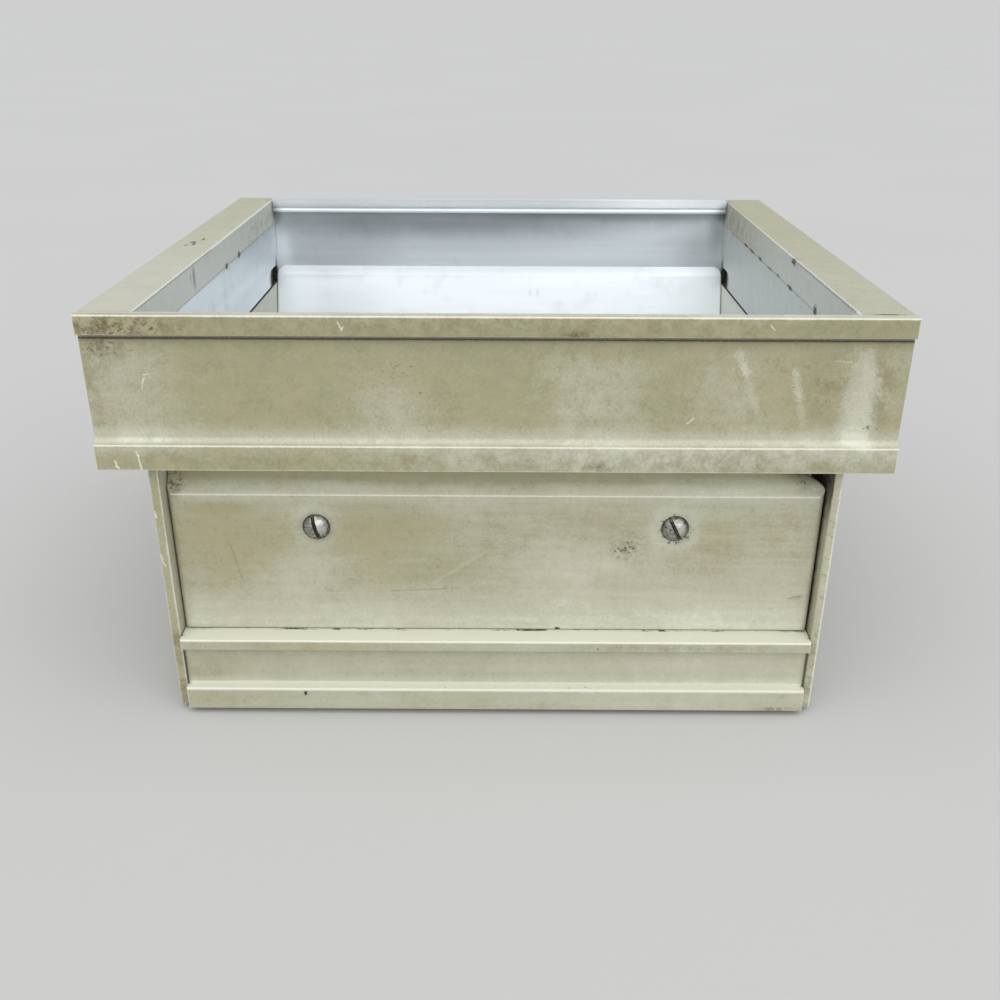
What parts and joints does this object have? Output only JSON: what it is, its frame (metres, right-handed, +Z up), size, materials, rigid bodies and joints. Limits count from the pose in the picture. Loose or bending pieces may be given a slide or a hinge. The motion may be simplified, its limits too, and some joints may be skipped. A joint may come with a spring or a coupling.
{
  "type": "small parts organizer",
  "caption": "Open-topped organizer: a wide extruded rim frame on a narrower plate base, with a screwed-front sheet-metal drawer sliding out under the front rail.",
  "frame": {"origin": "on the supporting surface, under the middle of the rim's width and depth", "axes": "+Z up, +X along the front rail to the right, +Y from the front towards the rear"},
  "size_m": [0.24, 0.209, 0.1377],
  "materials": {
    "cream_paint": "aged satin cream-beige paint with olive stains and worn edges",
    "bare_aluminium": "bare mill-finish aluminium",
    "worn_steel": "dull worn plated steel",
    "nylon": "natural nylon",
    "black_rubber": "matt black rubber"
  },
  "bodies": {
    "cabinet": {"front_rail": "cream_paint", "left_side_rail": "cream_paint", "right_side_rail": "cream_paint", "left_side_plate": "cream_paint", "right_side_plate": "cream_paint", "base_front_rail": "cream_paint", "rear_rail": "bare_aluminium", "left_corner_cleat": "bare_aluminium", "right_corner_cleat": "bare_aluminium", "base_rail_cleats": "bare_aluminium", "base_bottom_panel": "bare_aluminium", "base_back_panel": "bare_aluminium", "left_runner": "bare_aluminium", "right_runner": "bare_aluminium", "stop_bar": "bare_aluminium", "rear_rail_rivets": "worn_steel", "cleat_screws": "worn_steel", "plate_screws": "worn_steel", "base_rivets": "worn_steel", "runner_rivets": "worn_steel", "feet": "black_rubber"},
    "drawer": {"drawer_front": "cream_paint", "drawer_inner_front": "bare_aluminium", "drawer_floor": "bare_aluminium", "drawer_left_side": "bare_aluminium", "drawer_right_side": "bare_aluminium", "drawer_back": "bare_aluminium", "drawer_glides": "nylon", "front_screws": "worn_steel", "front_washers": "worn_steel", "front_nuts": "worn_steel"}
  },
  "joints": [
    {"name": "drawer_slide", "type": "slide", "parent": "cabinet", "child": "drawer", "axis": [0, -1, 0], "range_m": [0, 0.11]}
  ]
}
